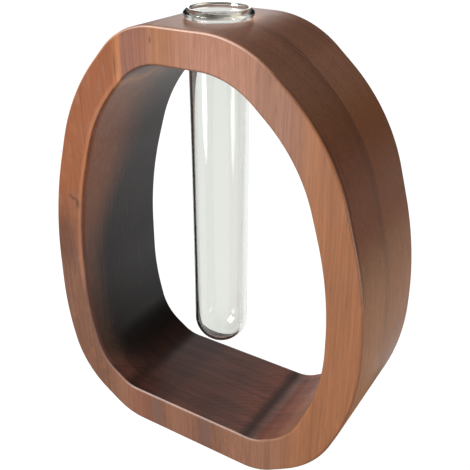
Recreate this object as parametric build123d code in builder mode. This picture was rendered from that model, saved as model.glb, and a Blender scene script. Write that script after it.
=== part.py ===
from build123d import *
from math import radians, tan
import os

# A bud vase: a glass test tube that hangs by its lip in a ring of wood.
# The ring stands on its flat base, with its opening facing -Y and +Y, and is glued up from two boards.
# Millimetres, +Z up, origin in the middle of the footprint at the base.

# Glass tube
tube_diameter = 20.0
tube_length = 125.8
glass_thickness = 1.0
bottom_thickness = 0.9
lip_height = 3.2
lip_overhang = 1.5  # how far the lip stands out from the tube's wall
lip_round = 0.4

# Corners of the beaded lip, from its seat on the ring out to its belly and up to its crest,
# as shares of its overhang and of its height.
lip_corner_shares = [(0.53, 0), (1, 0.34), (1, 0.56), (0.07, 1)]

# Corners of the mouth, from the crest down to the bore,
# as shares of the glass's thickness and of the lip's height.
mouth_corner_shares = [(0.6, 1), (1, 0.66)]

# Wooden ring, made tall enough for the tube to hang clear of its floor
tube_floor_gap = 22.8
ring_width = 127.0
front_board_thickness = 22.0
back_board_thickness = 22.0
wall_thickness = 12.1  # over the top and the shoulders
side_wall_thickness = 12.7
lower_wall_thickness = 13.0
floor_thickness = 14.6
edge_round = 0.9

# Corners of the ring's outline before they are rounded, from the base up,
# as shares of half the ring's width and of its height. The ring is cut by hand, so its sides differ.
right_corner_shares = [(0.43, 0), (0.79, 0.0915), (1, 0.293), (1, 0.537), (0.789, 0.83), (0.311, 1)]
left_corner_shares = [(0.53, 0), (0.895, 0.093), (1, 0.26), (1, 0.541), (0.779, 0.833), (0.385, 1)]

# How much of the shorter run beside it each corner's rounding takes.
# The base is cut flat, so its corners are tight, and the top corners leave a flat for the lip.
corner_round_shares = [0.25, 0.485, 0.485, 0.485, 0.485, 0.34]

# Tube hole in the top of the ring
hole_clearance = 0.3  # gap all round the tube
hole_offset = -2.15  # from the middle of the ring's width, to the left

ring_depth = front_board_thickness + back_board_thickness
back_face = ring_depth / 2
seam = back_face - back_board_thickness
tube_bottom = floor_thickness + tube_floor_gap
lip_top = tube_bottom + tube_length
ring_height = lip_top - lip_height
tube_radius = tube_diameter / 2


def outline_corners():
    """Sharp corners of the ring's outline, up the right side and down the left, from shares of its size."""
    half_width = ring_width / 2
    right = [Vector(across * half_width, up * ring_height) for across, up in right_corner_shares]
    left = [Vector(-across * half_width, up * ring_height) for across, up in left_corner_shares]
    return right + left[::-1]


def inset_corners(corners):
    """The same corners moved inwards, by the thickness of the wall on each run between them."""
    rising = [lower_wall_thickness, lower_wall_thickness, side_wall_thickness, wall_thickness, wall_thickness]
    walls = rising + [wall_thickness] + rising[::-1] + [floor_thickness]
    runs = [end - start for start, end in zip(corners, corners[1:] + corners[:1])]
    inward = [Vector(-run.Y, run.X).normalized() for run in runs]
    inset = []
    for index, corner in enumerate(corners):
        before, after = inward[index - 1], inward[index]
        wall_before, wall_after = walls[index - 1], walls[index]
        lean = before.dot(after)
        along_before = (wall_before - lean * wall_after) / (1 - lean**2)
        along_after = (wall_after - lean * wall_before) / (1 - lean**2)
        inset.append(corner + before * along_before + after * along_after)
    return inset


def corner_radii(corners):
    """Radius of each corner, as large as its share of the shorter run beside it gives."""
    round_shares = corner_round_shares + corner_round_shares[::-1]
    radii = []
    for index, corner in enumerate(corners):
        run_in = corner - corners[index - 1]
        run_out = corners[(index + 1) % len(corners)] - corner
        tangent_length = round_shares[index] * min(run_in.length, run_out.length)
        radii.append(tangent_length / tan(radians(run_in.get_angle(run_out)) / 2))
    return radii


def ring_board(face_plane, thickness, outer_face_index):
    """One ring-shaped board: outline less opening, outer edges eased, tube hole drilled from above."""
    outer_corners = outline_corners()
    inner_corners = inset_corners(outer_corners)
    with BuildPart() as board:
        with BuildSketch(face_plane):
            with BuildLine():
                FilletPolyline(*outer_corners, radius=corner_radii(outer_corners), close=True)
            make_face()
            with BuildLine():
                FilletPolyline(*inner_corners, radius=corner_radii(inner_corners), close=True)
            make_face(mode=Mode.SUBTRACT)
        extrude(amount=thickness)
        fillet(board.faces().sort_by(Axis.Y)[outer_face_index].edges(), edge_round)
        with Locations((hole_offset, 0, ring_height)):
            Hole(tube_radius + hole_clearance, depth=ring_height / 2)
    return board


def lip_points(shares, reach):
    """Corners of the lip's section, by shares of a reach out from the tube's wall and of the lip's height."""
    return [(tube_radius + out * reach, ring_height + up * lip_height) for out, up in shares]


os.makedirs("parts", exist_ok=True)

# Front board, from the glue seam to the front face
front_board = ring_board(Plane.XZ.offset(-seam), front_board_thickness, 0)
front_board.part.label = "front_board"
export_step(front_board.part, "parts/front_board.step")

# Back board, from the back face to the glue seam
back_board = ring_board(Plane.XZ.offset(-back_face), back_board_thickness, -1)
back_board.part.label = "back_board"
export_step(back_board.part, "parts/back_board.step")

# Test tube: round bottom, straight wall and a beaded lip that rests on the ring's flat top
outer_wall_foot = tube_bottom + tube_radius
bore_radius = tube_radius - glass_thickness
bore_bottom = tube_bottom + bottom_thickness
bore_foot = bore_bottom + bore_radius
lip_outside = lip_points(lip_corner_shares, lip_overhang)
lip_mouth = lip_points(mouth_corner_shares, -glass_thickness)
with BuildPart() as test_tube:
    with BuildSketch(Plane((hole_offset, 0, 0), x_dir=(1, 0, 0), z_dir=(0, -1, 0))) as half_section:
        with BuildLine():
            RadiusArc((0, tube_bottom), (tube_radius, outer_wall_foot), -tube_radius)
            Polyline(
                (tube_radius, outer_wall_foot),
                (tube_radius, ring_height),
                *lip_outside,
                *lip_mouth,
                (bore_radius, bore_foot),
            )
            RadiusArc((bore_radius, bore_foot), (0, bore_bottom), bore_radius)
            Line((0, bore_bottom), (0, tube_bottom))
        make_face()
        corners = half_section.vertices()
        fillet([corners.sort_by_distance(point)[0] for point in lip_outside + lip_mouth], lip_round)
    revolve(axis=Axis((hole_offset, 0, 0), (0, 0, 1)))
test_tube.part.label = "test_tube"
export_step(test_tube.part, "parts/test_tube.step")
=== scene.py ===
from math import cos, pi, radians, sin, tan

import bpy
from mathutils import Matrix, Vector


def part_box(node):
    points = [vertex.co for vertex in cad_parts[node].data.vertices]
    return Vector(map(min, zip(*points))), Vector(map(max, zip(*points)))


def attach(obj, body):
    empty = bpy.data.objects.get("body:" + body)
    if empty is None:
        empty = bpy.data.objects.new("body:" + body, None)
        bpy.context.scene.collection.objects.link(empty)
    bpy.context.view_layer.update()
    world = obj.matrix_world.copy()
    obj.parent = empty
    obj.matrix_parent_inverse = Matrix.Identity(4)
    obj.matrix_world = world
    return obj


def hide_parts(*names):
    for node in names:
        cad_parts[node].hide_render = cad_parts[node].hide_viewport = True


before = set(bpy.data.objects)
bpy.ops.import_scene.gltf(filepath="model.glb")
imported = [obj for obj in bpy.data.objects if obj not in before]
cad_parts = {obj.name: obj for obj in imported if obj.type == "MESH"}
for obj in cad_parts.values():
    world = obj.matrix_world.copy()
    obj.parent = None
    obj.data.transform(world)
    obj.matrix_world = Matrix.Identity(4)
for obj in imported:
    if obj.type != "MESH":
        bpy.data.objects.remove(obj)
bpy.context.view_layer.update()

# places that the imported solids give
boardLow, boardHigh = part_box("front_board")
backLow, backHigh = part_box("back_board")
tubeLow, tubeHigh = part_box("test_tube")
ringTop = boardHigh.z
halfWidth = boardHigh.x
seamY = backLow.y
tubeX = (tubeLow.x + tubeHigh.x) / 2
tubeFoot = tubeLow.z

perMetre = 1000  # mm
white = (1, 1, 1, 1)


# small helpers for node trees

def put(tree, kind, inputs=None, **settings):  # one node: its settings, then its inputs
    made = tree.nodes.new(kind)
    for name, value in settings.items():
        setattr(made, name, value)
    for key, value in (inputs or {}).items():
        if isinstance(value, bpy.types.NodeSocket):
            tree.links.new(value, made.inputs[key])
        else:
            made.inputs[key].default_value = value
    return made


def calc(tree, operation, a, b=0.0, c=0.0):  # one Math node, gives its result
    return put(tree, "ShaderNodeMath", {0: a, 1: b, 2: c}, operation=operation).outputs[0]


def wholeCalc(tree, operation, a, b=0):  # the same for whole numbers
    return put(tree, "FunctionNodeIntegerMath", {0: a, 1: b}, operation=operation).outputs[0]


def vectorCalc(tree, operation, a, b=(0, 0, 0)):  # and for vectors and colours
    return put(tree, "ShaderNodeVectorMath", {0: a, 1: b}, operation=operation).outputs[0]


def scaled(tree, vector, amount):
    made = put(tree, "ShaderNodeVectorMath", {0: vector, "Scale": amount}, operation="SCALE")
    return made.outputs[0]


def lengthOf(tree, vector):
    return put(tree, "ShaderNodeVectorMath", {0: vector}, operation="LENGTH").outputs["Value"]


def joined(tree, x, y, z=0.0):
    return put(tree, "ShaderNodeCombineXYZ", {0: x, 1: y, 2: z}).outputs[0]


def product(tree, first, *others):
    for other in others:
        first = calc(tree, "MULTIPLY", first, other)
    return first


def mapped(tree, value, low, high, atLow, atHigh, kind="LINEAR"):  # one range laid onto another
    made = put(tree, "ShaderNodeMapRange", {"Value": value, "From Min": low, "From Max": high,
                                            "To Min": atLow, "To Max": atHigh}, interpolation_type=kind)
    return made.outputs[0]


def eased(tree, value, low, high, atLow=0.0, atHigh=1.0):  # smooth step between two values
    return mapped(tree, value, low, high, atLow, atHigh, "SMOOTHSTEP")


def fading(tree, value, low, high):  # smooth step down
    return eased(tree, value, low, high, 1.0, 0.0)


def between(tree, share, atNone, atAll):
    return mapped(tree, share, 0.0, 1.0, atNone, atAll)


def blend(tree, amount, under, over):  # colours
    made = put(tree, "ShaderNodeMix", {"Factor": amount, 6: under, 7: over}, data_type="RGBA")
    return made.outputs[2]


def aim(obj, target):  # turn a lamp towards a point
    obj.rotation_euler = (target - obj.location).to_track_quat("-Z", "Y").to_euler()


# camera, set up like the photograph's

camera = {
    "place": (0.12176, -0.18987, 0.20083),
    "azimuth": 31.814,  # degrees to the right of straight in front
    "elevation": 26.143,
    "roll": 0.116,
    "lens": 53.48,  # mm
    "sensor": 36,  # mm
    "shiftY": -0.0392,
    "nearest": 0.01,
}


def makeCamera(look):
    az, el = radians(look["azimuth"]), radians(look["elevation"])
    back = Vector((sin(az) * cos(el), -cos(az) * cos(el), sin(el)))
    right = Vector((cos(az), sin(az), 0))
    up = back.cross(right)
    turn = Matrix((right, up, back)).transposed().to_4x4()
    roll = Matrix.Rotation(radians(look["roll"]), 4, "Z")
    data = bpy.data.cameras.new("camera")
    data.lens = look["lens"]
    data.sensor_width = look["sensor"]
    data.shift_y = look["shiftY"]
    data.clip_start = look["nearest"]
    obj = bpy.data.objects.new("camera", data)
    obj.matrix_world = Matrix.Translation(look["place"]) @ turn @ roll
    bpy.context.scene.collection.objects.link(obj)
    bpy.context.scene.camera = obj


makeCamera(camera)
print("camera set")


# wood: growth rings, streaks, fibres and pores in one group, in millimetres

grainLook = {
    "inputs": (("Knot Reach", 6.0), ("Ring Width", 1.7), ("Waviness", 10.0), ("Seed", 0.0)),
    # noises drawn out along the grain: stretch, detail, roughness and a shift of the seed
    "sway": ((0.025, 0.025, 0.009), 2.0, 0.5, 3.1),
    "streak": ((1.25, 1.25, 0.018), 3.0, 0.62, 5.3),
    "fibre": ((4.0, 4.0, 0.09), 3.0, 0.6, 7.7),
    "dash": ((2.6, 2.6, 0.16), 1.0, 0.4, 11.3),
    "band": ((0.07, 0.07, 0.014), 2.0, 0.5, 17.9),
    "mottle": ((0.24, 0.24, 0.11), 4.0, 0.65, 23.1),
    "poreDash": (0.60, 0.74),  # a pore where the dash noise is this high
    "knotShape": (1, 0, 0.45),  # the knot is drawn out upwards and runs from front to back
    "knotPush": (-0.8, 0, 0),
    "lateCurve": 2.2,  # how late in each ring its dark wood comes
    "earlyShare": 0.15,
    "ringTones": (0.75, 0.25),  # how much the rings differ, and the least of them
    "reliefs": {"growth": 0.25, "fibre": 0.5, "pores": -1.0},
}


def makeGrainGroup(look):
    tree = bpy.data.node_groups.new("boardGrain", "ShaderNodeTree")
    face = tree.interface
    for name in ("Vector", "Pith", "Knot"):
        face.new_socket(name, in_out="INPUT", socket_type="NodeSocketVector")
    for name, start in look["inputs"]:
        face.new_socket(name, in_out="INPUT", socket_type="NodeSocketFloat").default_value = start
    for name in ("Growth", "Streak", "Fibre", "Pores", "Band", "Mottle", "Height"):
        face.new_socket(name, in_out="OUTPUT", socket_type="NodeSocketFloat")
    come = tree.nodes.new("NodeGroupInput").outputs
    leave = tree.nodes.new("NodeGroupOutput")

    def noise(source, stretch, detail, rough, shift):
        seed = calc(tree, "ADD", come["Seed"], shift)
        moved = put(tree, "ShaderNodeMapping", {"Vector": source, "Scale": stretch}).outputs[0]
        return put(tree, "ShaderNodeTexNoise", {"Vector": moved, "W": seed, "Scale": 1.0, "Detail": detail,
                                                "Roughness": rough}, noise_dimensions="4D").outputs

    # the grain parts to flow round the knot
    away = vectorCalc(tree, "SUBTRACT", come["Vector"], come["Knot"])
    reach = lengthOf(tree, vectorCalc(tree, "MULTIPLY", away, look["knotShape"]))
    reachShare = calc(tree, "DIVIDE", reach, come["Knot Reach"])
    push = calc(tree, "EXPONENT", calc(tree, "MULTIPLY", calc(tree, "POWER", reachShare, 2.0), -1.0))
    aside = scaled(tree, vectorCalc(tree, "MULTIPLY", away, look["knotPush"]), push)
    parted = vectorCalc(tree, "ADD", come["Vector"], aside)

    # and sways slowly along the trunk
    sway = noise(come["Vector"], *look["sway"])["Color"]
    evenSway = vectorCalc(tree, "SUBTRACT", sway, (0.5, 0.5, 0.5))
    bent = vectorCalc(tree, "ADD", parted, scaled(tree, evenSway, come["Waviness"]))

    # growth rings round the pith
    flat = vectorCalc(tree, "MULTIPLY", vectorCalc(tree, "SUBTRACT", bent, come["Pith"]), (1, 1, 0))
    rings = calc(tree, "DIVIDE", lengthOf(tree, flat), come["Ring Width"])
    inRing = calc(tree, "FRACT", rings)
    ringNumber = calc(tree, "FLOOR", rings)
    ringTone = put(tree, "ShaderNodeTexWhiteNoise", {"W": ringNumber}, noise_dimensions="1D").outputs["Value"]
    late = calc(tree, "POWER", inRing, look["lateCurve"])
    early = fading(tree, inRing, 0.0, look["earlyShare"])
    ringDepth = calc(tree, "MULTIPLY_ADD", ringTone, *look["ringTones"])
    growth = calc(tree, "MULTIPLY", calc(tree, "MAXIMUM", late, early), ringDepth)

    streak = noise(bent, *look["streak"])[0]
    fibre = noise(bent, *look["fibre"])[0]
    dash = noise(bent, *look["dash"])[0]
    pores = eased(tree, dash, *look["poreDash"])
    band = noise(come["Vector"], *look["band"])[0]
    mottle = noise(come["Vector"], *look["mottle"])[0]
    reliefs = look["reliefs"]
    sunk = calc(tree, "MULTIPLY", pores, reliefs["pores"])
    soft = calc(tree, "MULTIPLY_ADD", fibre, reliefs["fibre"], sunk)
    relief = calc(tree, "MULTIPLY_ADD", growth, reliefs["growth"], soft)
    for name, value in (("Growth", growth), ("Streak", streak), ("Fibre", fibre), ("Pores", pores),
                        ("Band", band), ("Mottle", mottle), ("Height", relief)):
        tree.links.new(value, leave.inputs[name])
    return tree


grainGroup = makeGrainGroup(grainLook)

tones = {  # the oiled wood's colours, with those painted for the edges' highlight and shade and for the pale hole
    "amber": (0.224, 0.063, 0.016),
    "straw": (0.400, 0.147, 0.052),
    "plum": (0.205, 0.077, 0.046),
    "rose": (0.302, 0.132, 0.078),
    "clay": (0.275, 0.108, 0.046),
    "dusk": (0.162, 0.071, 0.042),
    "mauve": (0.240, 0.108, 0.062),
    "honey": (0.270, 0.100, 0.032),
    "bruise": (0.150, 0.088, 0.072),
    "umber": (0.060, 0.018, 0.008),
    # the next three are painted: shade behind the eased edges, the edges' highlight with their wear, and the
    # hole's raw wood made pale
    "russet": (0.260, 0.070, 0.030),
    "rubbedHighlight": (0.520, 0.330, 0.250),
    "rawHoleLight": (0.450, 0.410, 0.375),
}

frontWood = {
    "name": "front_wood",
    "pith": (54, -90, 0),  # mm, where the trunk's middle lies
    "knot": (-51, -22, 91),
    "knotReach": 5.5,
    "ringWidth": 1.9,
    "waviness": 10.0,
    "seed": 2.0,
    # tones across the board, in mm from its middle, near the top and near the base
    "topBands": [(-63, "amber"), (-29, "amber"), (-26, "straw"), (-23.8, "plum"), (-16, "plum"),
                 (-12, "clay"), (-7, "clay"), (2, "rose"), (17, "rose"), (27, "mauve"), (35, "mauve"),
                 (45, "clay"), (63, "clay")],
    "baseBands": [(-63, "dusk"), (-44, "dusk"), (-35, "mauve"), (-26, "plum"), (-17, "dusk"),
                  (-10, "mauve"), (4, "dusk"), (16, "mauve"), (32, "mauve"), (46, "clay"), (63, "clay")],
    "turnHeights": (62, 104),  # mm, between them the base's bands give way to the top's
    # single marks: place across and up, half width and half height in mm, strength and tone
    "marks": [
        (-51.8, 92.6, 4.5, 5.5, 0.45, "plum"),  # knot
        (-50.6, 91.2, 1.3, 2.4, 0.85, "umber"),
        (-52.4, 93.1, 1.6, 1.0, 0.60, "umber"),
        (-53.9, 93.9, 1.2, 0.9, 0.55, "umber"),
        (-52.6, 86.6, 1.5, 2.6, 0.35, "honey"),
        (-59.5, 75.0, 7.0, 17.0, 0.50, "umber"),  # dark wood under the knot
        (-27.9, 146.0, 0.45, 6.0, 0.60, "umber"),  # resin line
        (-13.0, 155.6, 0.55, 1.5, 0.60, "umber"),  # fleck
        (-19.0, 7.5, 3.4, 10.0, 0.60, "bruise"),  # greyer patches in the foot
        (4.5, 7.5, 3.6, 10.0, 0.50, "bruise"),
    ],
    # outside rim: painted light and shade by height in mm, lighter low down where the floor lights it, with
    # the boards' own difference in tone; a painted sheen tint, greyer below its middle and redder above
    "rimPaintedLight": [(45, 1.75), (60, 1.55), (80, 1.48), (92, 1.2), (105, 0.88), (120, 0.78), (132, 0.76),
                 (150, 1.15), (157, 0.90)],
    "rimSheenTintLow": (1.02, 1.16, 1.18),
    "rimSheenTintHigh": (0.96, 0.77, 0.66),
    "seamShade": 0.84,  # darker wood beside the glue line
}

backWood = dict(
    frontWood,
    name="back_wood",
    knotReach=0.01,
    seed=2.6,
    marks=[],
    # the back board's rim: painted light and shade by height, as on the front's
    rimPaintedLight=[(45, 1.2), (65, 1.45), (80, 1.42), (95, 1.18), (105, 1.0), (115, 0.92), (130, 0.98),
              (142, 1.3), (150, 1.42), (157, 0.90)],
    rimSheenTintLow=(1.0, 1.06, 1.04),
    rimSheenTintHigh=(0.93, 0.76, 0.56),
    seamShade=1.0,
)

# what both boards share; a pair is where a change starts and ends, places in mm,
# wall places as shares of the wall from the outside in
figure = {
    "wander": 8.0,  # how far the bands of colour stray sideways
    "raggedTurn": 30.0,  # and how far their change from base to top strays upwards
    "blotch": 0.45,  # pinker and more golden patches
    "calmShare": 0.3,  # what is left of them on the right
    "restlessAcross": (-38.0, -8.0),
    "pinkMottle": (0.52, 0.66),
    "goldMottle": (0.34, 0.48),
    "noiseSpan": (0.3, 0.7),
    "streakTones": (0.84, 1.16),
    "fibreTones": (0.86, 1.14),
    "ringsUpright": (0.3, 0.95),  # rings show most where they are cut across
    "ringsShown": (0.18, 0.60),
    "poresShown": 0.18,
    "markRagged": 0.8,
    "markEdge": (0.3, 1.1),
    "bevelHighlight": 0.38,  # painted highlight of a broader eased edge beside the opening, up the left side
    "marginStart": (0.80, 0.88),
    "marginEnd": (0.93, 0.96),
    "marginAcross": (-34.0, -24.0),
    "marginHeights": (48.0, 66.0),
    "endGrain": 0.78,  # cut across the fibres the wood drinks more oil and is darker
    "endGrainUpright": (0.70, 0.98),
}

# painted shade and sheen on the rim and inside the ring, with the seam's darker wood, the floor's redder tone
# and its streaks
shade = {
    "rimEdge": (0.001, 0.02),
    "seamDepth": (-6.0, -2.0),
    "rimTurn": (90.0, 108.0),  # heights where the rim's painted sheen tint turns and where it ends
    "rimEnd": (126.0, 142.0),
    "insideEdge": (0.955, 0.995),
    "insideLeft": 0.06,  # painted shade inside: darkest on the left and away from the front
    "insideRight": 0.72,
    "insideAcross": (-45.0, 45.0),
    "insideDepth": (4.0, 14.0),  # where the painted shade sets in, behind the front face
    # painted shade on the inner walls' front strip, darker low down
    "frontHeights": (25.0, 100.0),
    "frontTones": (0.45, 1.0),
    "feather": 16.0,
    "featherHeights": (60.0, 120.0),
    "featherReach": (0.95, 2.5),
    # painted shade on the inside floor, darker to the left
    "floorUpright": (0.75, 0.95),
    "floorAcross": (-36.0, 30.0),
    "floorShade": (0.20, 0.46),
    "floorTint": (1.03, 0.75, 0.78),
    "tintUpright": (0.6, 0.9),
    "tintHeights": (28.0, 36.0),
    "ply": (0.035, 0.55, 0.02),  # streaks along the inside floor
    "plyDetail": 3.0,
    "plySpan": (0.34, 0.66),
    "plyTones": (0.72, 1.30),
    "archPaintedSheen": (1.04, 1.30, 1.50),  # painted sheen: greyer underside of the arch
    "archHeights": (122.0, 144.0),
    # painted shade where the floor turns up: across, reach to the left and to the right, tone
    "creaseShadows": [(-31.5, 4.5, 4.5, 0.62), (21.5, 4.0, 5.5, 0.28)],
    "creaseStray": 2.0,
    "creaseTop": (22.0, 30.0),
}

wearAndEdgeLight = {
    "amount": 0.40,  # eased edges lighter, partly rubbed wear and partly painted highlight
    "facing": (0.25, 0.55),
    "flat": (0.90, 0.995),
    # no painted highlight on edges that face down, which stay in shade
    "notUnder": (-0.3, 0.2),
    "depth": (1.0, 1.3),
    "across": (12.0, 34.0),
    "wall": (0.5, 0.9),
    "insideShare": 0.4,
    "edgeShade": 0.70,  # painted shade just behind them, as on an eased edge seen edge-on in shade
    "edgeShadeStart": (0.8, 1.1),
    "edgeShadeEnd": (1.2, 2.2),
    "edgeShadeUpright": (0.5, 0.8),
    "edgeShadeWall": (0.2, 0.8),
    "edgeShadeHeights": (70.0, 115.0),
    "edgeShadeOutside": 0.45,
    "hole": (10.4, 10.6),  # raw wood in the drilled hole, painted pale grey to stand in for the bright reflections in the glass lip
    "holeHeights": (146.0, 147.0),
}

polish = {
    "roughness": 0.42,
    "roughSpread": 0.06,
    "edgeShadeRoughness": 0.95,
    "bump": 0.25,
    "bumpDepth": 0.0001,
}


def solid(tone):
    return (*tones[tone], 1)


def laidOut(tree, stops, at):  # colours along a line, each at its share of it
    ramp = put(tree, "ShaderNodeValToRGB", {0: at})
    spots = ramp.color_ramp.elements
    for i, (share, colour) in enumerate(stops):
        if i < 2:
            spots[i].position = share
        spot = spots[i] if i < 2 else spots.new(share)
        spot.color = (*colour, 1)
    return ramp.outputs[0]


def acrossBoard(tree, stops, at):  # tones across the board
    width = 2 * halfWidth * perMetre
    return laidOut(tree, [(0.5 + across / width, tones[tone]) for across, tone in stops], at)


def byHeight(tree, stops, height):  # a tone that changes with height, kept at half its value in the ramp
    top = ringTop * perMetre
    greys = [(up / top, (tone / 2,) * 3) for up, tone in stops]
    return calc(tree, "MULTIPLY", laidOut(tree, greys, calc(tree, "DIVIDE", height, top)), 2.0)


def bandedWood(tree, look, at, grain):
    wander = figure["wander"]
    strayed = calc(tree, "ADD", at["across"], calc(tree, "MULTIPLY_ADD", grain["Band"], wander, -wander / 2))
    acrossShare = calc(tree, "MULTIPLY_ADD", strayed, 0.5 / (halfWidth * perMetre), 0.5)
    ragged = figure["raggedTurn"]
    upper = calc(tree, "MULTIPLY_ADD", grain["Streak"], ragged, at["height"])
    low, high = look["turnHeights"]
    towardsTop = eased(tree, upper, low + ragged / 2, high + ragged / 2)
    base = acrossBoard(tree, look["baseBands"], acrossShare)
    wood = blend(tree, towardsTop, base, acrossBoard(tree, look["topBands"], acrossShare))

    # patches where the grain is restless, most of them on the left
    blotch = figure["blotch"]
    restless = eased(tree, at["across"], *figure["restlessAcross"], blotch, figure["calmShare"] * blotch)
    pinker = product(tree, eased(tree, grain["Mottle"], *figure["pinkMottle"]), restless)
    golden = product(tree, fading(tree, grain["Mottle"], *figure["goldMottle"]), restless)
    wood = blend(tree, pinker, wood, solid("mauve"))
    return blend(tree, golden, wood, solid("honey"))


def figuredWood(tree, look, at, grain, wood):
    # streaks, late wood and pores
    streakTone = mapped(tree, grain["Streak"], *figure["noiseSpan"], *figure["streakTones"])
    fibreTone = mapped(tree, grain["Fibre"], *figure["noiseSpan"], *figure["fibreTones"])
    wood = scaled(tree, wood, product(tree, streakTone, fibreTone))
    ringAmount = eased(tree, at["upright"], *figure["ringsUpright"], *figure["ringsShown"])
    wood = blend(tree, product(tree, grain["Growth"], ringAmount), wood, solid("umber"))
    wood = blend(tree, product(tree, grain["Pores"], figure["poresShown"]), wood, solid("umber"))

    # single marks, ragged along the fibres
    rag = figure["markRagged"]
    for x, z, halfAcross, halfUp, strength, tone in look["marks"]:
        toSide = calc(tree, "DIVIDE", calc(tree, "SUBTRACT", at["across"], x), halfAcross)
        toTop = calc(tree, "DIVIDE", calc(tree, "SUBTRACT", at["height"], z), halfUp)
        far = calc(tree, "SUBTRACT", lengthOf(tree, joined(tree, toSide, toTop)), rag / 2)
        ragged = calc(tree, "MULTIPLY_ADD", grain["Fibre"], rag, far)
        wood = blend(tree, eased(tree, ragged, *figure["markEdge"], strength, 0.0), wood, solid(tone))

    # painted highlight of a broader eased edge beside the opening
    bevelHighlight = product(
        tree,
        eased(tree, at["wall"], *figure["marginStart"]),
        fading(tree, at["wall"], *figure["marginEnd"]),
        eased(tree, at["across"], *figure["marginAcross"], figure["bevelHighlight"], 0.0),
        eased(tree, at["height"], *figure["marginHeights"]),
    )
    wood = blend(tree, bevelHighlight, wood, solid("straw"))
    return scaled(tree, wood, eased(tree, at["upright"], *figure["endGrainUpright"], 1.0, figure["endGrain"]))


def rimPaintedLightAndSeam(tree, look, at, wood):
    offRim = eased(tree, at["wall"], *shade["rimEdge"])
    beside = eased(tree, at["depth"], *shade["seamDepth"], 1.0, look["seamShade"])
    # painted light and shade along the rim's height, with the darker wood beside the seam
    rimPaintedTone = product(tree, byHeight(tree, look["rimPaintedLight"], at["height"]), beside)
    wood = scaled(tree, wood, between(tree, offRim, rimPaintedTone, 1.0))
    # painted sheen tint: greyer below the rim's middle, redder above
    upwards = eased(tree, at["height"], *shade["rimTurn"])
    tint = blend(tree, upwards, (*look["rimSheenTintLow"], 1), (*look["rimSheenTintHigh"], 1))
    untinted = calc(tree, "MAXIMUM", offRim, eased(tree, at["height"], *shade["rimEnd"]))
    return vectorCalc(tree, "MULTIPLY", wood, blend(tree, untinted, tint, white))


def insidePaintedShadeAndGrain(tree, at, grain, wood):
    # painted shade inside the ring: deeper behind the front face, on the left, low down and on the floor
    inside = eased(tree, at["wall"], *shade["insideEdge"])
    evenStreak = calc(tree, "SUBTRACT", grain["Streak"], 0.5)
    feathered = calc(tree, "MULTIPLY_ADD", evenStreak, shade["feather"], at["fromFront"])
    spread = eased(tree, at["height"], *shade["featherHeights"], *shade["featherReach"])
    feathered = calc(tree, "DIVIDE", feathered, spread)
    frontTone = eased(tree, at["height"], *shade["frontHeights"], *shade["frontTones"])
    leftTone = eased(tree, feathered, *shade["insideDepth"], frontTone, shade["insideLeft"])
    sideTone = mapped(tree, at["across"], *shade["insideAcross"], leftTone, shade["insideRight"])
    floorTone = eased(tree, at["across"], *shade["floorAcross"], *shade["floorShade"])
    tone = between(tree, eased(tree, at["upright"], *shade["floorUpright"]), sideTone, floorTone)
    # painted shade in the creases where the floor turns up
    above = eased(tree, at["height"], *shade["creaseTop"])
    stray = shade["creaseStray"]
    for x, toLeft, toRight, dark in shade["creaseShadows"]:
        fromCrease = calc(tree, "SUBTRACT", at["across"], x + stray / 2)
        ragged = calc(tree, "MULTIPLY_ADD", grain["Band"], stray, fromCrease)
        before = eased(tree, ragged, -toLeft, 0.0, 1.0, dark)
        line = calc(tree, "MAXIMUM", before, eased(tree, ragged, 0.0, toRight, dark, 1.0))
        tone = product(tree, tone, calc(tree, "MAXIMUM", line, above))
    wood = scaled(tree, wood, between(tree, inside, 1.0, tone))

    # the floor is redder, with streaks along it, and the underside of the arch greyer with painted sheen
    lengthwise = put(tree, "ShaderNodeMapping", {"Vector": at["place"], "Scale": shade["ply"]}).outputs[0]
    ply = put(tree, "ShaderNodeTexNoise", {"Vector": lengthwise, "Scale": 1.0, "Detail": shade["plyDetail"]})
    plyTone = eased(tree, ply.outputs[0], *shade["plySpan"], *shade["plyTones"])
    level = product(tree, inside, eased(tree, at["upright"], *shade["tintUpright"]))
    onFloor = product(tree, level, fading(tree, at["height"], *shade["tintHeights"]))
    onArch = product(tree, inside, eased(tree, at["height"], *shade["archHeights"]))
    tint = blend(tree, onFloor, white, (*shade["floorTint"], 1))
    tint = blend(tree, onArch, tint, (*shade["archPaintedSheen"], 1))
    tint = scaled(tree, tint, between(tree, onFloor, 1.0, plyTone))
    return vectorCalc(tree, "MULTIPLY", wood, tint)


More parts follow.
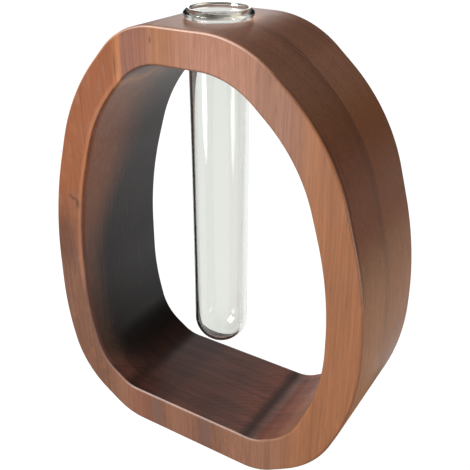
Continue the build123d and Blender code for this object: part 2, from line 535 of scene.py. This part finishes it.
def edgeWearAndPaintedLight(tree, at, wood):  # gives the painted shade line behind the eased edges too, which is duller
    fromFace = calc(tree, "SUBTRACT", -boardLow.y * perMetre, calc(tree, "ABSOLUTE", at["depth"]))
    # eased edges lighter: partly rubbed wear, partly painted highlight
    rubbedHighlight = product(
        tree,
        eased(tree, at["facing"], *wearAndEdgeLight["facing"]),
        eased(tree, at["facing"], *wearAndEdgeLight["flat"], wearAndEdgeLight["amount"], 0.0),
        eased(tree, at["lean"], *wearAndEdgeLight["notUnder"]),
        fading(tree, fromFace, *wearAndEdgeLight["depth"]),
        fading(tree, at["across"], *wearAndEdgeLight["across"]),
        eased(tree, at["wall"], *wearAndEdgeLight["wall"], 1.0, wearAndEdgeLight["insideShare"]),
    )
    wood = blend(tree, rubbedHighlight, wood, solid("rubbedHighlight"))
    # painted shade just behind the eased edges, redder and duller
    inwards = eased(tree, at["wall"], *wearAndEdgeLight["edgeShadeWall"])
    edgeShaded = product(
        tree,
        eased(tree, at["fromFront"], *wearAndEdgeLight["edgeShadeStart"]),
        eased(tree, at["fromFront"], *wearAndEdgeLight["edgeShadeEnd"], wearAndEdgeLight["edgeShade"], 0.0),
        fading(tree, at["upright"], *wearAndEdgeLight["edgeShadeUpright"]),
        calc(tree, "MAXIMUM", inwards, eased(tree, at["height"], *wearAndEdgeLight["edgeShadeHeights"])),
    )
    edgeShadeTone = eased(tree, at["wall"], *wearAndEdgeLight["edgeShadeWall"], wearAndEdgeLight["edgeShadeOutside"], 1.0)
    wood = blend(tree, edgeShaded, wood, scaled(tree, tones["russet"], edgeShadeTone))
    # raw wood in the drilled hole, painted pale grey as the glass lip's bright reflections
    fromAxis = joined(tree, calc(tree, "SUBTRACT", at["across"], tubeX * perMetre), at["depth"])
    nearAxis = fading(tree, lengthOf(tree, fromAxis), *wearAndEdgeLight["hole"])
    inHole = product(tree, nearAxis, eased(tree, at["height"], *wearAndEdgeLight["holeHeights"]))
    return blend(tree, inHole, wood, solid("rawHoleLight")), edgeShaded


def makeWood(look):
    mat = bpy.data.materials.new(look["name"])
    mat.use_nodes = True
    tree = mat.node_tree
    shader = tree.nodes["Principled BSDF"]
    place = put(tree, "ShaderNodeTexCoord").outputs
    inMm = put(tree, "ShaderNodeMapping", {"Vector": place["Object"], "Scale": (perMetre,) * 3}).outputs[0]
    grain = put(tree, "ShaderNodeGroup", node_tree=grainGroup)
    tree.links.new(inMm, grain.inputs["Vector"])
    for key, name in (("pith", "Pith"), ("knot", "Knot"), ("knotReach", "Knot Reach"),
                      ("ringWidth", "Ring Width"), ("waviness", "Waviness"), ("seed", "Seed")):
        grain.inputs[name].default_value = look[key]
    grain = grain.outputs
    across, depth, height = put(tree, "ShaderNodeSeparateXYZ", {0: inMm}).outputs
    normal = put(tree, "ShaderNodeSeparateXYZ", {0: place["Normal"]}).outputs
    at = {
        "place": inMm,
        "across": across,
        "depth": depth,
        "height": height,
        "fromFront": calc(tree, "SUBTRACT", depth, boardLow.y * perMetre),
        "wall": put(tree, "ShaderNodeAttribute", attribute_name="acrossWall").outputs["Fac"],
        "upright": calc(tree, "ABSOLUTE", normal["Z"]),
        "facing": calc(tree, "ABSOLUTE", normal["Y"]),
        "lean": normal["Z"],
    }
    wood = bandedWood(tree, look, at, grain)
    wood = figuredWood(tree, look, at, grain, wood)
    wood = rimPaintedLightAndSeam(tree, look, at, wood)
    wood = insidePaintedShadeAndGrain(tree, at, grain, wood)
    wood, edgeShaded = edgeWearAndPaintedLight(tree, at, wood)
    tree.links.new(wood, shader.inputs["Base Color"])

    mean, spread = polish["roughness"], polish["roughSpread"]
    rough = mapped(tree, grain["Fibre"], *figure["noiseSpan"], mean + spread, mean - spread)
    tree.links.new(between(tree, edgeShaded, rough, polish["edgeShadeRoughness"]), shader.inputs["Roughness"])
    bump = put(tree, "ShaderNodeBump", {"Height": grain["Height"], "Strength": polish["bump"],
                                        "Distance": polish["bumpDepth"]})
    tree.links.new(bump.outputs[0], shader.inputs["Normal"])
    return mat


frontWoodMaterial = makeWood(frontWood)
backWoodMaterial = makeWood(backWood)
print("wood mixed")


# ring: two boards with the same outline, eased at the outer face and drilled for the tube

weld = 1e-6  # metres, points nearer than this are one
sharpAngle = 35  # degrees

ring = {
    "wall": 0.0121,  # over the top and the shoulders
    "sideWall": 0.0127,
    "lowerWall": 0.0130,
    "floor": 0.0146,
    "ease": 0.0009,
    "seamEase": 0.00001,  # arris left on each side of the glue line
    "holeRadius": 0.0103,
    "holeWalls": 4,  # the drill's length in walls
    "holeSides": 128,
    "cornerSteps": 18,
    "easeSteps": 5,
    # corners before rounding, from the base up, as shares of half the width and of the height
    "rightShares": [(0.43, 0), (0.79, 0.0915), (1, 0.293), (1, 0.537), (0.789, 0.83), (0.311, 1)],
    "leftShares": [(0.53, 0), (0.895, 0.093), (1, 0.26), (1, 0.541), (0.779, 0.833), (0.385, 1)],
    "roundShares": [0.25, 0.485, 0.485, 0.485, 0.485, 0.34],  # of the shorter run beside each corner
}


def outlineCorners(look):
    right = [Vector((across * halfWidth, up * ringTop)) for across, up in look["rightShares"]]
    left = [Vector((-across * halfWidth, up * ringTop)) for across, up in look["leftShares"]]
    return right + left[::-1]


def openingCorners(look, corners):  # the same runs moved in by the wall on each of them
    rising = [look["lowerWall"], look["lowerWall"], look["sideWall"], look["wall"], look["wall"]]
    walls = rising + [look["wall"]] + rising[::-1] + [look["floor"]]
    runs = [b - a for a, b in zip(corners, corners[1:] + corners[:1])]
    inward = [Vector((-run.y, run.x)).normalized() for run in runs]
    moved = []
    for i, corner in enumerate(corners):
        lean = inward[i - 1].dot(inward[i])
        before = (walls[i - 1] - lean * walls[i]) / (1 - lean ** 2)
        after = (walls[i] - lean * walls[i - 1]) / (1 - lean ** 2)
        moved.append(corner + inward[i - 1] * before + inward[i] * after)
    return moved


def cornerRadii(look, corners):
    shares = look["roundShares"] + look["roundShares"][::-1]
    radii = []
    for i, corner in enumerate(corners):
        runIn = corner - corners[i - 1]
        runOut = corners[(i + 1) % len(corners)] - corner
        radii.append(shares[i] * min(runIn.length, runOut.length) / tan(runIn.angle(runOut) / 2))
    return radii


def addLine(data, points, radii, closed):  # one straight-sided line, each corner with its rounding
    line = data.splines.new("POLY")
    line.points.add(len(points) - 1)
    for spot, (x, z), radius in zip(line.points, points, radii):
        spot.co = (x, 0, z, 1)
        spot.radius = radius
    line.use_cyclic_u = closed


def newTree(name, inputs):  # an empty Geometry Nodes tree with named inputs
    tree = bpy.data.node_groups.new(name, "GeometryNodeTree")
    tree.interface.new_socket("Geometry", in_out="INPUT", socket_type="NodeSocketGeometry")
    for label, kind in inputs:
        tree.interface.new_socket(label, in_out="INPUT", socket_type="NodeSocket" + kind)
    tree.interface.new_socket("Geometry", in_out="OUTPUT", socket_type="NodeSocketGeometry")
    come = tree.nodes.new("NodeGroupInput").outputs
    leave = tree.nodes.new("NodeGroupOutput")
    return tree, come, leave


def rounded(tree, curve, steps, radius):
    made = put(tree, "GeometryNodeFilletCurve", {"Curve": curve, "Count": steps, "Radius": radius},
               mode="POLY")
    return made.outputs[0]


def countPoints(tree, curve):
    return put(tree, "GeometryNodeAttributeDomainSize", {0: curve}, component="CURVE").outputs["Point Count"]


def pointAt(tree, curve, index):  # place of one point of a line
    spot = put(tree, "GeometryNodeInputPosition").outputs[0]
    made = put(tree, "GeometryNodeSampleIndex", {"Geometry": curve}, data_type="FLOAT_VECTOR", domain="POINT")
    tree.links.new(spot, made.inputs["Value"])
    tree.links.new(index, made.inputs["Index"])
    return made.outputs[0]


def compare(tree, kind, operation, a, b):
    first, second = (2, 3) if kind == "INT" else (0, 1)  # its sockets for each kind of number
    made = put(tree, "FunctionNodeCompare", {first: a, second: b}, data_type=kind, operation=operation)
    return made.outputs[0]


def closeAndDress(tree, mesh, come, leave):  # shade, realize and give the material
    smooth = put(tree, "GeometryNodeSetShadeSmooth", {"Geometry": mesh, "Shade Smooth": True}, domain="FACE")
    angle = put(tree, "GeometryNodeInputMeshEdgeAngle").outputs["Unsigned Angle"]
    sharp = compare(tree, "FLOAT", "GREATER_THAN", angle, radians(sharpAngle))
    edges = put(tree, "GeometryNodeSetShadeSmooth", {"Geometry": smooth.outputs[0], "Selection": sharp,
                                                     "Shade Smooth": False}, domain="EDGE")
    real = put(tree, "GeometryNodeRealizeInstances", {0: edges.outputs[0]})
    dressed = put(tree, "GeometryNodeSetMaterial", {0: real.outputs[0], "Material": come["Material"]})
    tree.links.new(dressed.outputs[0], leave.inputs[0])


def makeBoardTree():
    tree, come, leave = newTree("ringBoard", [
        ("Wall", "Float"), ("Seam Y", "Float"), ("Face Y", "Float"), ("Ease", "Float"),
        ("Seam Ease", "Float"), ("Corner Steps", "Int"), ("Ease Steps", "Int"), ("Hole Radius", "Float"),
        ("Hole Sides", "Int"), ("Hole Place", "Vector"), ("Hole Depth", "Float"), ("Material", "Material")])
    index = put(tree, "GeometryNodeInputIndex").outputs[0]

    # outline and opening, rounded
    isOutline = compare(tree, "INT", "EQUAL", index, 0)
    lines = put(tree, "GeometryNodeSeparateGeometry", {0: come["Geometry"], 1: isOutline}, domain="CURVE")
    radius = put(tree, "GeometryNodeInputRadius").outputs[0]
    outline = rounded(tree, lines.outputs[0], come["Corner Steps"], radius)
    opening = rounded(tree, lines.outputs[1], come["Corner Steps"], radius)

    # section through the wall: across from the outline, and from the seam to the outer face
    section = put(tree, "GeometryNodeCurvePrimitiveQuadrilateral", {
        "Point 1": joined(tree, 0.0, come["Seam Y"]),
        "Point 2": joined(tree, 0.0, come["Face Y"]),
        "Point 3": joined(tree, come["Wall"], come["Face Y"]),
        "Point 4": joined(tree, come["Wall"], come["Seam Y"]),
    }, mode="POINTS").outputs[0]
    fromMiddle = calc(tree, "ABSOLUTE", calc(tree, "SUBTRACT", index, 1.5))  # of the four points
    atFace = compare(tree, "FLOAT", "LESS_THAN", fromMiddle, 1.0)
    easing = put(tree, "GeometryNodeSwitch", {0: atFace, 1: come["Seam Ease"], 2: come["Ease"]},
                 input_type="FLOAT")
    section = rounded(tree, section, come["Ease Steps"], easing.outputs[0])

    # a grid laid round the ring: one way along the outline, the other along the section
    along = countPoints(tree, outline)
    around = countPoints(tree, section)
    alongClosed = wholeCalc(tree, "ADD", along, 1)
    aroundClosed = wholeCalc(tree, "ADD", around, 1)
    sheet = put(tree, "GeometryNodeMeshGrid", {"Vertices X": aroundClosed, "Vertices Y": alongClosed})
    column = wholeCalc(tree, "MODULO", index, alongClosed)
    station = wholeCalc(tree, "MODULO", column, along)
    row = wholeCalc(tree, "DIVIDE", index, alongClosed)
    step = wholeCalc(tree, "MODULO", row, around)
    atOutline = pointAt(tree, outline, station)
    atOpening = pointAt(tree, opening, station)
    atSection = put(tree, "ShaderNodeSeparateXYZ", {0: pointAt(tree, section, step)}).outputs
    share = calc(tree, "DIVIDE", atSection[0], come["Wall"])
    flat = put(tree, "ShaderNodeMix", {0: share, 4: atOutline, 5: atOpening}, data_type="VECTOR")
    spot = vectorCalc(tree, "ADD", flat.outputs[1], joined(tree, 0.0, atSection[1]))
    laid = put(tree, "GeometryNodeSetPosition", {0: sheet.outputs[0], "Position": spot}).outputs[0]
    noted = put(tree, "GeometryNodeStoreNamedAttribute", {0: laid, "Name": "acrossWall", "Value": share},
                data_type="FLOAT", domain="POINT").outputs[0]
    closed = put(tree, "GeometryNodeMergeByDistance", {0: noted, "Distance": weld}).outputs[0]
    behind = compare(tree, "FLOAT", "GREATER_THAN", come["Face Y"], come["Seam Y"])
    outward = put(tree, "GeometryNodeFlipFaces", {0: closed, 1: behind}).outputs[0]

    # hole for the tube
    drill = put(tree, "GeometryNodeMeshCylinder", {
        "Vertices": come["Hole Sides"],
        "Radius": come["Hole Radius"],
        "Depth": come["Hole Depth"],
    }).outputs[0]
    drillAt = put(tree, "GeometryNodeTransform", {0: drill, "Translation": come["Hole Place"]}).outputs[0]
    drilled = put(tree, "GeometryNodeMeshBoolean", {0: outward, 1: drillAt}, operation="DIFFERENCE",
                  solver="EXACT")
    closeAndDress(tree, drilled.outputs[0], come, leave)
    return tree


def bakeNodes(obj, tree, inputs):  # set the tree's inputs, bake it to a plain mesh, drop the modifier
    modifier = obj.modifiers.new("nodes", "NODES")
    modifier.node_group = tree
    names = {item.name: item.identifier for item in tree.interface.items_tree if item.in_out == "INPUT"}
    for name, value in inputs.items():
        modifier[names[name]] = value
    graph = bpy.context.evaluated_depsgraph_get()
    mesh = bpy.data.meshes.new_from_object(obj.evaluated_get(graph), depsgraph=graph)
    mesh.name = obj.name
    obj.modifiers.remove(modifier)
    made = bpy.data.objects.new(obj.name + "_mesh", mesh)
    bpy.context.scene.collection.objects.link(made)
    lines = obj.data
    bpy.data.objects.remove(obj)
    bpy.data.curves.remove(lines)
    return made


def weighNormals(obj):  # flat faces stay flat beside their eased edges
    modifier = obj.modifiers.new("normals", "WEIGHTED_NORMAL")
    modifier.keep_sharp = True
    graph = bpy.context.evaluated_depsgraph_get()
    mesh = bpy.data.meshes.new_from_object(obj.evaluated_get(graph), depsgraph=graph)
    old = obj.data
    obj.modifiers.remove(modifier)
    obj.data = mesh
    bpy.data.meshes.remove(old)


boardTree = makeBoardTree()


def makeBoard(name, look, faceY, material):
    data = bpy.data.curves.new(name, "CURVE")
    data.dimensions = "3D"
    corners = outlineCorners(look)
    inner = openingCorners(look, corners)
    addLine(data, corners, cornerRadii(look, corners), True)
    addLine(data, inner, cornerRadii(look, inner), True)
    lines = bpy.data.objects.new(name, data)
    bpy.context.scene.collection.objects.link(lines)
    board = bakeNodes(lines, boardTree, {
        "Wall": look["wall"],
        "Seam Y": seamY,
        "Face Y": faceY,
        "Ease": look["ease"],
        "Seam Ease": look["seamEase"],
        "Corner Steps": look["cornerSteps"],
        "Ease Steps": look["easeSteps"],
        "Hole Radius": look["holeRadius"],
        "Hole Sides": look["holeSides"],
        "Hole Place": (tubeX, seamY, ringTop),
        "Hole Depth": look["holeWalls"] * look["wall"],
        "Material": material,
    })
    board.name = name
    weighNormals(board)
    return board


frontBoard = makeBoard("front_board_wood", ring, boardLow.y, frontWoodMaterial)
backBoard = makeBoard("back_board_wood", ring, backHigh.y, backWoodMaterial)
for board, node, slot in ((frontBoard, "front_board", "front_wood"), (backBoard, "back_board", "back_wood")):
    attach(board, "ring")
    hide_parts(node)
    print("board made:", board.name, len(board.data.polygons), "faces")


# glass tube, turned from its half section

tube = {
    "wall": 0.0010,
    "bottom": 0.0009,
    "radius": 0.0100,
    "neckRound": 0.0002,
    # beaded lip: radius, height above the ring and rounding of each corner, up the outside and into the mouth
    "lip": [(0.0108, 0, 0.0003), (0.0115, 0.0011, 0.0006), (0.0115, 0.0018, 0.0007),
            (0.0101, 0.0032, 0.0005), (0.0094, 0.0032, 0.0004), (0.0090, 0.0021, 0.0004)],
    "cornerSteps": 14,
    "turns": 144,
}

glass = {
    "name": "clear_glass",
    "tint": (0.86, 0.87, 0.845),
    "ior": 1.5,
    "shade": (0.90, 0.91, 0.90),  # what a shadow through it keeps
    "smear": (900, 900, 60),  # a faint film, drawn out upwards
    "smearDetail": 3.0,
    "smearSpan": (0.45, 0.8),
    "smearRoughness": (0.0, 0.006),
}


def makeGlass(look):
    mat = bpy.data.materials.new(look["name"])
    mat.use_nodes = True
    tree = mat.node_tree
    shader = tree.nodes["Principled BSDF"]
    shader.inputs["Base Color"].default_value = (*look["tint"], 1)
    shader.inputs["IOR"].default_value = look["ior"]
    shader.inputs["Transmission Weight"].default_value = 1.0
    place = put(tree, "ShaderNodeTexCoord").outputs["Object"]
    smear = put(tree, "ShaderNodeMapping", {"Vector": place, "Scale": look["smear"]}).outputs[0]
    film = put(tree, "ShaderNodeTexNoise", {"Vector": smear, "Scale": 1.0, "Detail": look["smearDetail"]})
    rough = mapped(tree, film.outputs[0], *look["smearSpan"], *look["smearRoughness"])
    tree.links.new(rough, shader.inputs["Roughness"])
    clear = put(tree, "ShaderNodeBsdfTransparent", {0: (*look["shade"], 1)})
    path = put(tree, "ShaderNodeLightPath")
    both = put(tree, "ShaderNodeMixShader", {0: path.outputs["Is Shadow Ray"]})
    tree.links.new(shader.outputs[0], both.inputs[1])
    tree.links.new(clear.outputs[0], both.inputs[2])
    tree.links.new(both.outputs[0], tree.nodes["Material Output"].inputs["Surface"])
    return mat


def makeTubeTree():
    tree, come, leave = newTree("tubeLathe", [
        ("Axis X", "Float"), ("Corner Steps", "Int"), ("Turns", "Int"), ("Material", "Material")])
    index = put(tree, "GeometryNodeInputIndex").outputs[0]
    radius = put(tree, "GeometryNodeInputRadius").outputs[0]
    section = rounded(tree, come["Geometry"], come["Corner Steps"], radius)
    along = countPoints(tree, section)
    aroundClosed = wholeCalc(tree, "ADD", come["Turns"], 1)
    sheet = put(tree, "GeometryNodeMeshGrid", {"Vertices X": along, "Vertices Y": aroundClosed}).outputs[0]
    column = wholeCalc(tree, "MODULO", index, aroundClosed)
    row = wholeCalc(tree, "DIVIDE", index, aroundClosed)
    at = put(tree, "ShaderNodeSeparateXYZ", {0: pointAt(tree, section, row)}).outputs
    step = calc(tree, "DIVIDE", 2 * pi, come["Turns"])
    angle = calc(tree, "MULTIPLY", wholeCalc(tree, "MODULO", column, come["Turns"]), step)
    x = calc(tree, "MULTIPLY_ADD", at[0], calc(tree, "COSINE", angle), come["Axis X"])
    y = calc(tree, "MULTIPLY", at[0], calc(tree, "SINE", angle))
    spot = joined(tree, x, y, at[2])
    laid = put(tree, "GeometryNodeSetPosition", {0: sheet, "Position": spot}).outputs[0]
    closed = put(tree, "GeometryNodeMergeByDistance", {0: laid, "Distance": weld}).outputs[0]
    outward = put(tree, "GeometryNodeFlipFaces", {0: closed}).outputs[0]
    closeAndDress(tree, outward, come, leave)
    return tree


def makeTube(look, material):
    bore = look["radius"] - look["wall"]
    boreFoot = tubeFoot + look["bottom"]
    corners = [  # radius, height and rounding, from the bottom's middle up the outside and down the bore
        (0, tubeFoot, 0),
        (look["radius"], tubeFoot, look["radius"]),
        (look["radius"], ringTop, look["neckRound"]),
        *[(r, ringTop + up, rounding) for r, up, rounding in look["lip"]],
        (bore, boreFoot, bore),
        (0, boreFoot, 0),
    ]
    data = bpy.data.curves.new("test_tube_glass", "CURVE")
    data.dimensions = "3D"
    addLine(data, [(r, z) for r, z, _ in corners], [rounding for _, _, rounding in corners], False)
    lines = bpy.data.objects.new("test_tube_glass", data)
    bpy.context.scene.collection.objects.link(lines)
    made = bakeNodes(lines, makeTubeTree(), {
        "Axis X": tubeX,
        "Corner Steps": look["cornerSteps"],
        "Turns": look["turns"],
        "Material": material,
    })
    made.name = "test_tube_glass"
    return made


testTube = makeTube(tube, makeGlass(glass))
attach(testTube, "tube")
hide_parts("test_tube")
print("tube made:", len(testTube.data.polygons), "faces")


# floor and light

studio = {
    "floorSize": 8.0,
    "floorColour": (0.10, 0.10, 0.10),
    "floorRoughness": 0.9,
    "floorSeen": 1.0,  # the table glows white to the eye and through the glass
    "floorGloss": (0.03, 0.85),  # in the sheen of the wood, at large and behind the ring
    "floorSkew": -0.35,  # the bright part leans to the right behind the ring
    "floorFade": (0.040, 0.085),  # metres to the right, between them it fades
    "floorFront": (0.02, 0.065),  # metres behind the ring's middle, between them it starts
    "footPlace": (0.05, 0.035),  # the ring's own shade in that sheen
    "footReach": (0.010, 0.036),
    "footShade": 0.15,
    "floorFill": 0.60,  # as light on the wood
    "roomSeen": 0.85,
    "roomGloss": 0.05,
    "roomFill": 0.07,
    "lampTarget": (0, 0, 0.08),
}

lamps = {  # place, width and height in metres, power in watts
    "key": {"place": (-0.55, -0.77, 0.82), "size": (0.63, 0.63), "power": 26.0},
    "low_side": {"place": (0.42, -0.08, 0.06), "size": (0.08, 0.12), "power": 0.48},
    "sheen_card": {"place": (-0.32, 0.50, 0.27), "size": (0.25, 0.16), "power": 0.31},
    "front_card": {"place": (0.10, -0.60, 0.50), "size": (1.20, 0.80), "power": 1.0},
    "left_card": {"place": (-0.115, -0.215, 0.058), "size": (0.085, 0.08), "power": 0.10},
    "right_card": {"place": (0.245, -0.01, 0.066), "size": (0.04, 0.036), "power": 0.022},
}
cards = ("sheen_card", "front_card", "left_card", "right_card")  # only show in reflections
glints = ("key", "left_card", "right_card")  # also show through the glass


def glowByPath(tree, seen, gloss, fill):  # how bright it is to the eye, in a sheen and as fill light
    path = put(tree, "ShaderNodeLightPath").outputs
    straight = calc(tree, "MAXIMUM", path["Is Camera Ray"], path["Is Transmission Ray"])
    bounced = between(tree, path["Is Glossy Ray"], fill, gloss)
    return between(tree, straight, bounced, seen)


def makeFloor(look):
    half = look["floorSize"] / 2
    mesh = bpy.data.meshes.new("floor")
    corners = [(-half, -half, 0), (half, -half, 0), (half, half, 0), (-half, half, 0)]
    mesh.from_pydata(corners, [], [(0, 1, 2, 3)])
    floor = bpy.data.objects.new("floor", mesh)
    bpy.context.scene.collection.objects.link(floor)
    mat = bpy.data.materials.new("pale_table")
    mat.use_nodes = True
    mat.cycles.emission_sampling = "NONE"
    tree = mat.node_tree
    shader = tree.nodes["Principled BSDF"]
    shader.inputs["Base Color"].default_value = (*look["floorColour"], 1)
    shader.inputs["Roughness"].default_value = look["floorRoughness"]
    shader.inputs["Specular IOR Level"].default_value = 0.0
    shader.inputs["Emission Color"].default_value = white
    place = put(tree, "ShaderNodeTexCoord").outputs["Object"]
    toRight, toBack, _ = put(tree, "ShaderNodeSeparateXYZ", {0: place}).outputs
    skewed = calc(tree, "MULTIPLY_ADD", toBack, look["floorSkew"], toRight)
    notRight = fading(tree, skewed, *look["floorFade"])
    behind = eased(tree, toBack, *look["floorFront"])
    footX, footY = look["footPlace"]
    away = joined(tree, calc(tree, "SUBTRACT", toRight, footX), calc(tree, "SUBTRACT", toBack, footY))
    unshaded = eased(tree, lengthOf(tree, away), *look["footReach"], look["footShade"], 1.0)
    gloss = between(tree, product(tree, notRight, behind, unshaded), *look["floorGloss"])
    glow = glowByPath(tree, look["floorSeen"], gloss, look["floorFill"])
    tree.links.new(glow, shader.inputs["Emission Strength"])
    mesh.materials.append(mat)


def makeRoom(look):
    world = bpy.data.worlds.new("room")
    world.use_nodes = True
    glow = glowByPath(world.node_tree, look["roomSeen"], look["roomGloss"], look["roomFill"])
    shader = world.node_tree.nodes["Background"]
    shader.inputs["Color"].default_value = white
    world.node_tree.links.new(glow, shader.inputs["Strength"])
    world.cycles.sampling_method = "NONE"
    bpy.context.scene.world = world


def makeLamp(name, look):
    data = bpy.data.lights.new(name, "AREA")
    data.shape = "ELLIPSE" if name in cards else "RECTANGLE"
    data.size, data.size_y = look["size"]
    data.energy = look["power"]
    lamp = bpy.data.objects.new(name, data)
    lamp.location = look["place"]
    lamp.visible_camera = False
    lamp.visible_diffuse = name not in cards
    lamp.visible_transmission = name in glints
    aim(lamp, Vector(studio["lampTarget"]))
    bpy.context.scene.collection.objects.link(lamp)


makeFloor(studio)
makeRoom(studio)
for name, look in lamps.items():
    makeLamp(name, look)
bpy.context.scene.view_settings.view_transform = "Standard"
print("studio lit")
